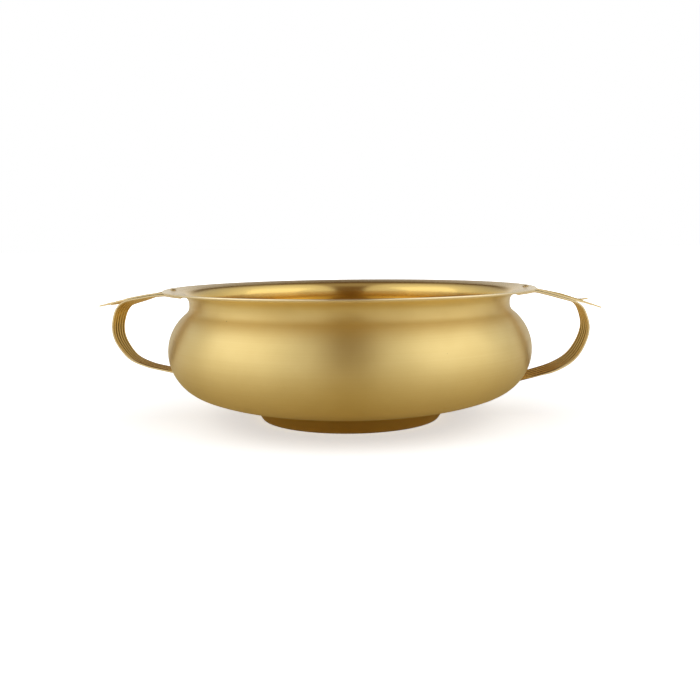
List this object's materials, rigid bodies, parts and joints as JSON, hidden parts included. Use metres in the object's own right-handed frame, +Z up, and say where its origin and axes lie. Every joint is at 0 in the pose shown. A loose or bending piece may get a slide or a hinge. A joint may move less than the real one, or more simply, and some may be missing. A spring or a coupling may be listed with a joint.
{
  "type": "urli bowl",
  "caption": "Wide, shallow spun brass bowl with a flared foot ring, an outward flange and fluted palm-leaf handles at both sides.",
  "frame": {"origin": "centre of the circle that the foot ring stands on, at floor level", "axes": "+Z up along the bowl's axis, +X toward the right-hand handle, -Y toward the viewer"},
  "size_m": [0.3433, 0.25, 0.0888],
  "materials": {
    "spun_brass": "satin, spun on a lathe, clear lacquered",
    "foot_brass": "satin, slightly darker",
    "sheet_brass": "satin, pressed into flutes",
    "rivet_brass": "hammered and filed flush"
  },
  "bodies": {
    "root": {"bowl_shell": "spun_brass", "foot_ring": "foot_brass", "leaf_right": "sheet_brass", "strap_right": "sheet_brass", "rivet_right": "rivet_brass", "leaf_left": "sheet_brass", "strap_left": "sheet_brass", "rivet_left": "rivet_brass"}
  },
  "joints": []
}
